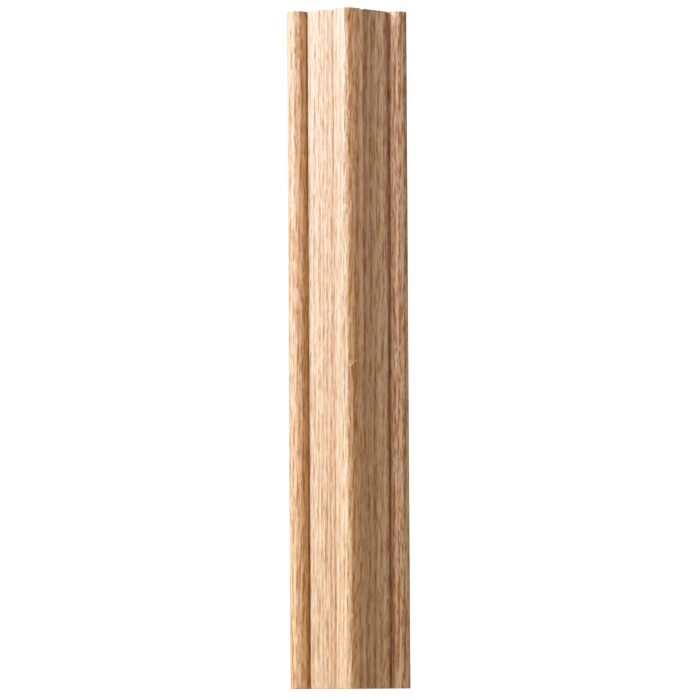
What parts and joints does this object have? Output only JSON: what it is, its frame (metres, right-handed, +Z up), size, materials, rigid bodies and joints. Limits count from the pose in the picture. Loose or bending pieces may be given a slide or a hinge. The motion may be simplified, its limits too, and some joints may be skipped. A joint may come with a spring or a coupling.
{
  "type": "half column",
  "caption": "Straight solid oak half column: a V front with a rounded arris, flat strips and beaded edges, and a flat back that is fixed to a wall, post or cabinet.",
  "frame": {"origin": "middle of the foot, on the surface that the piece stands on", "axes": "+Z up along the moulding, +Y out of the flat back, so the arris faces -Y"},
  "size_m": [0.0762, 0.0382, 0.4318],
  "materials": {
    "oak": "planed bare oak, matt, straight grain"
  },
  "bodies": {
    "root": {"half_column": "oak"}
  },
  "joints": []
}
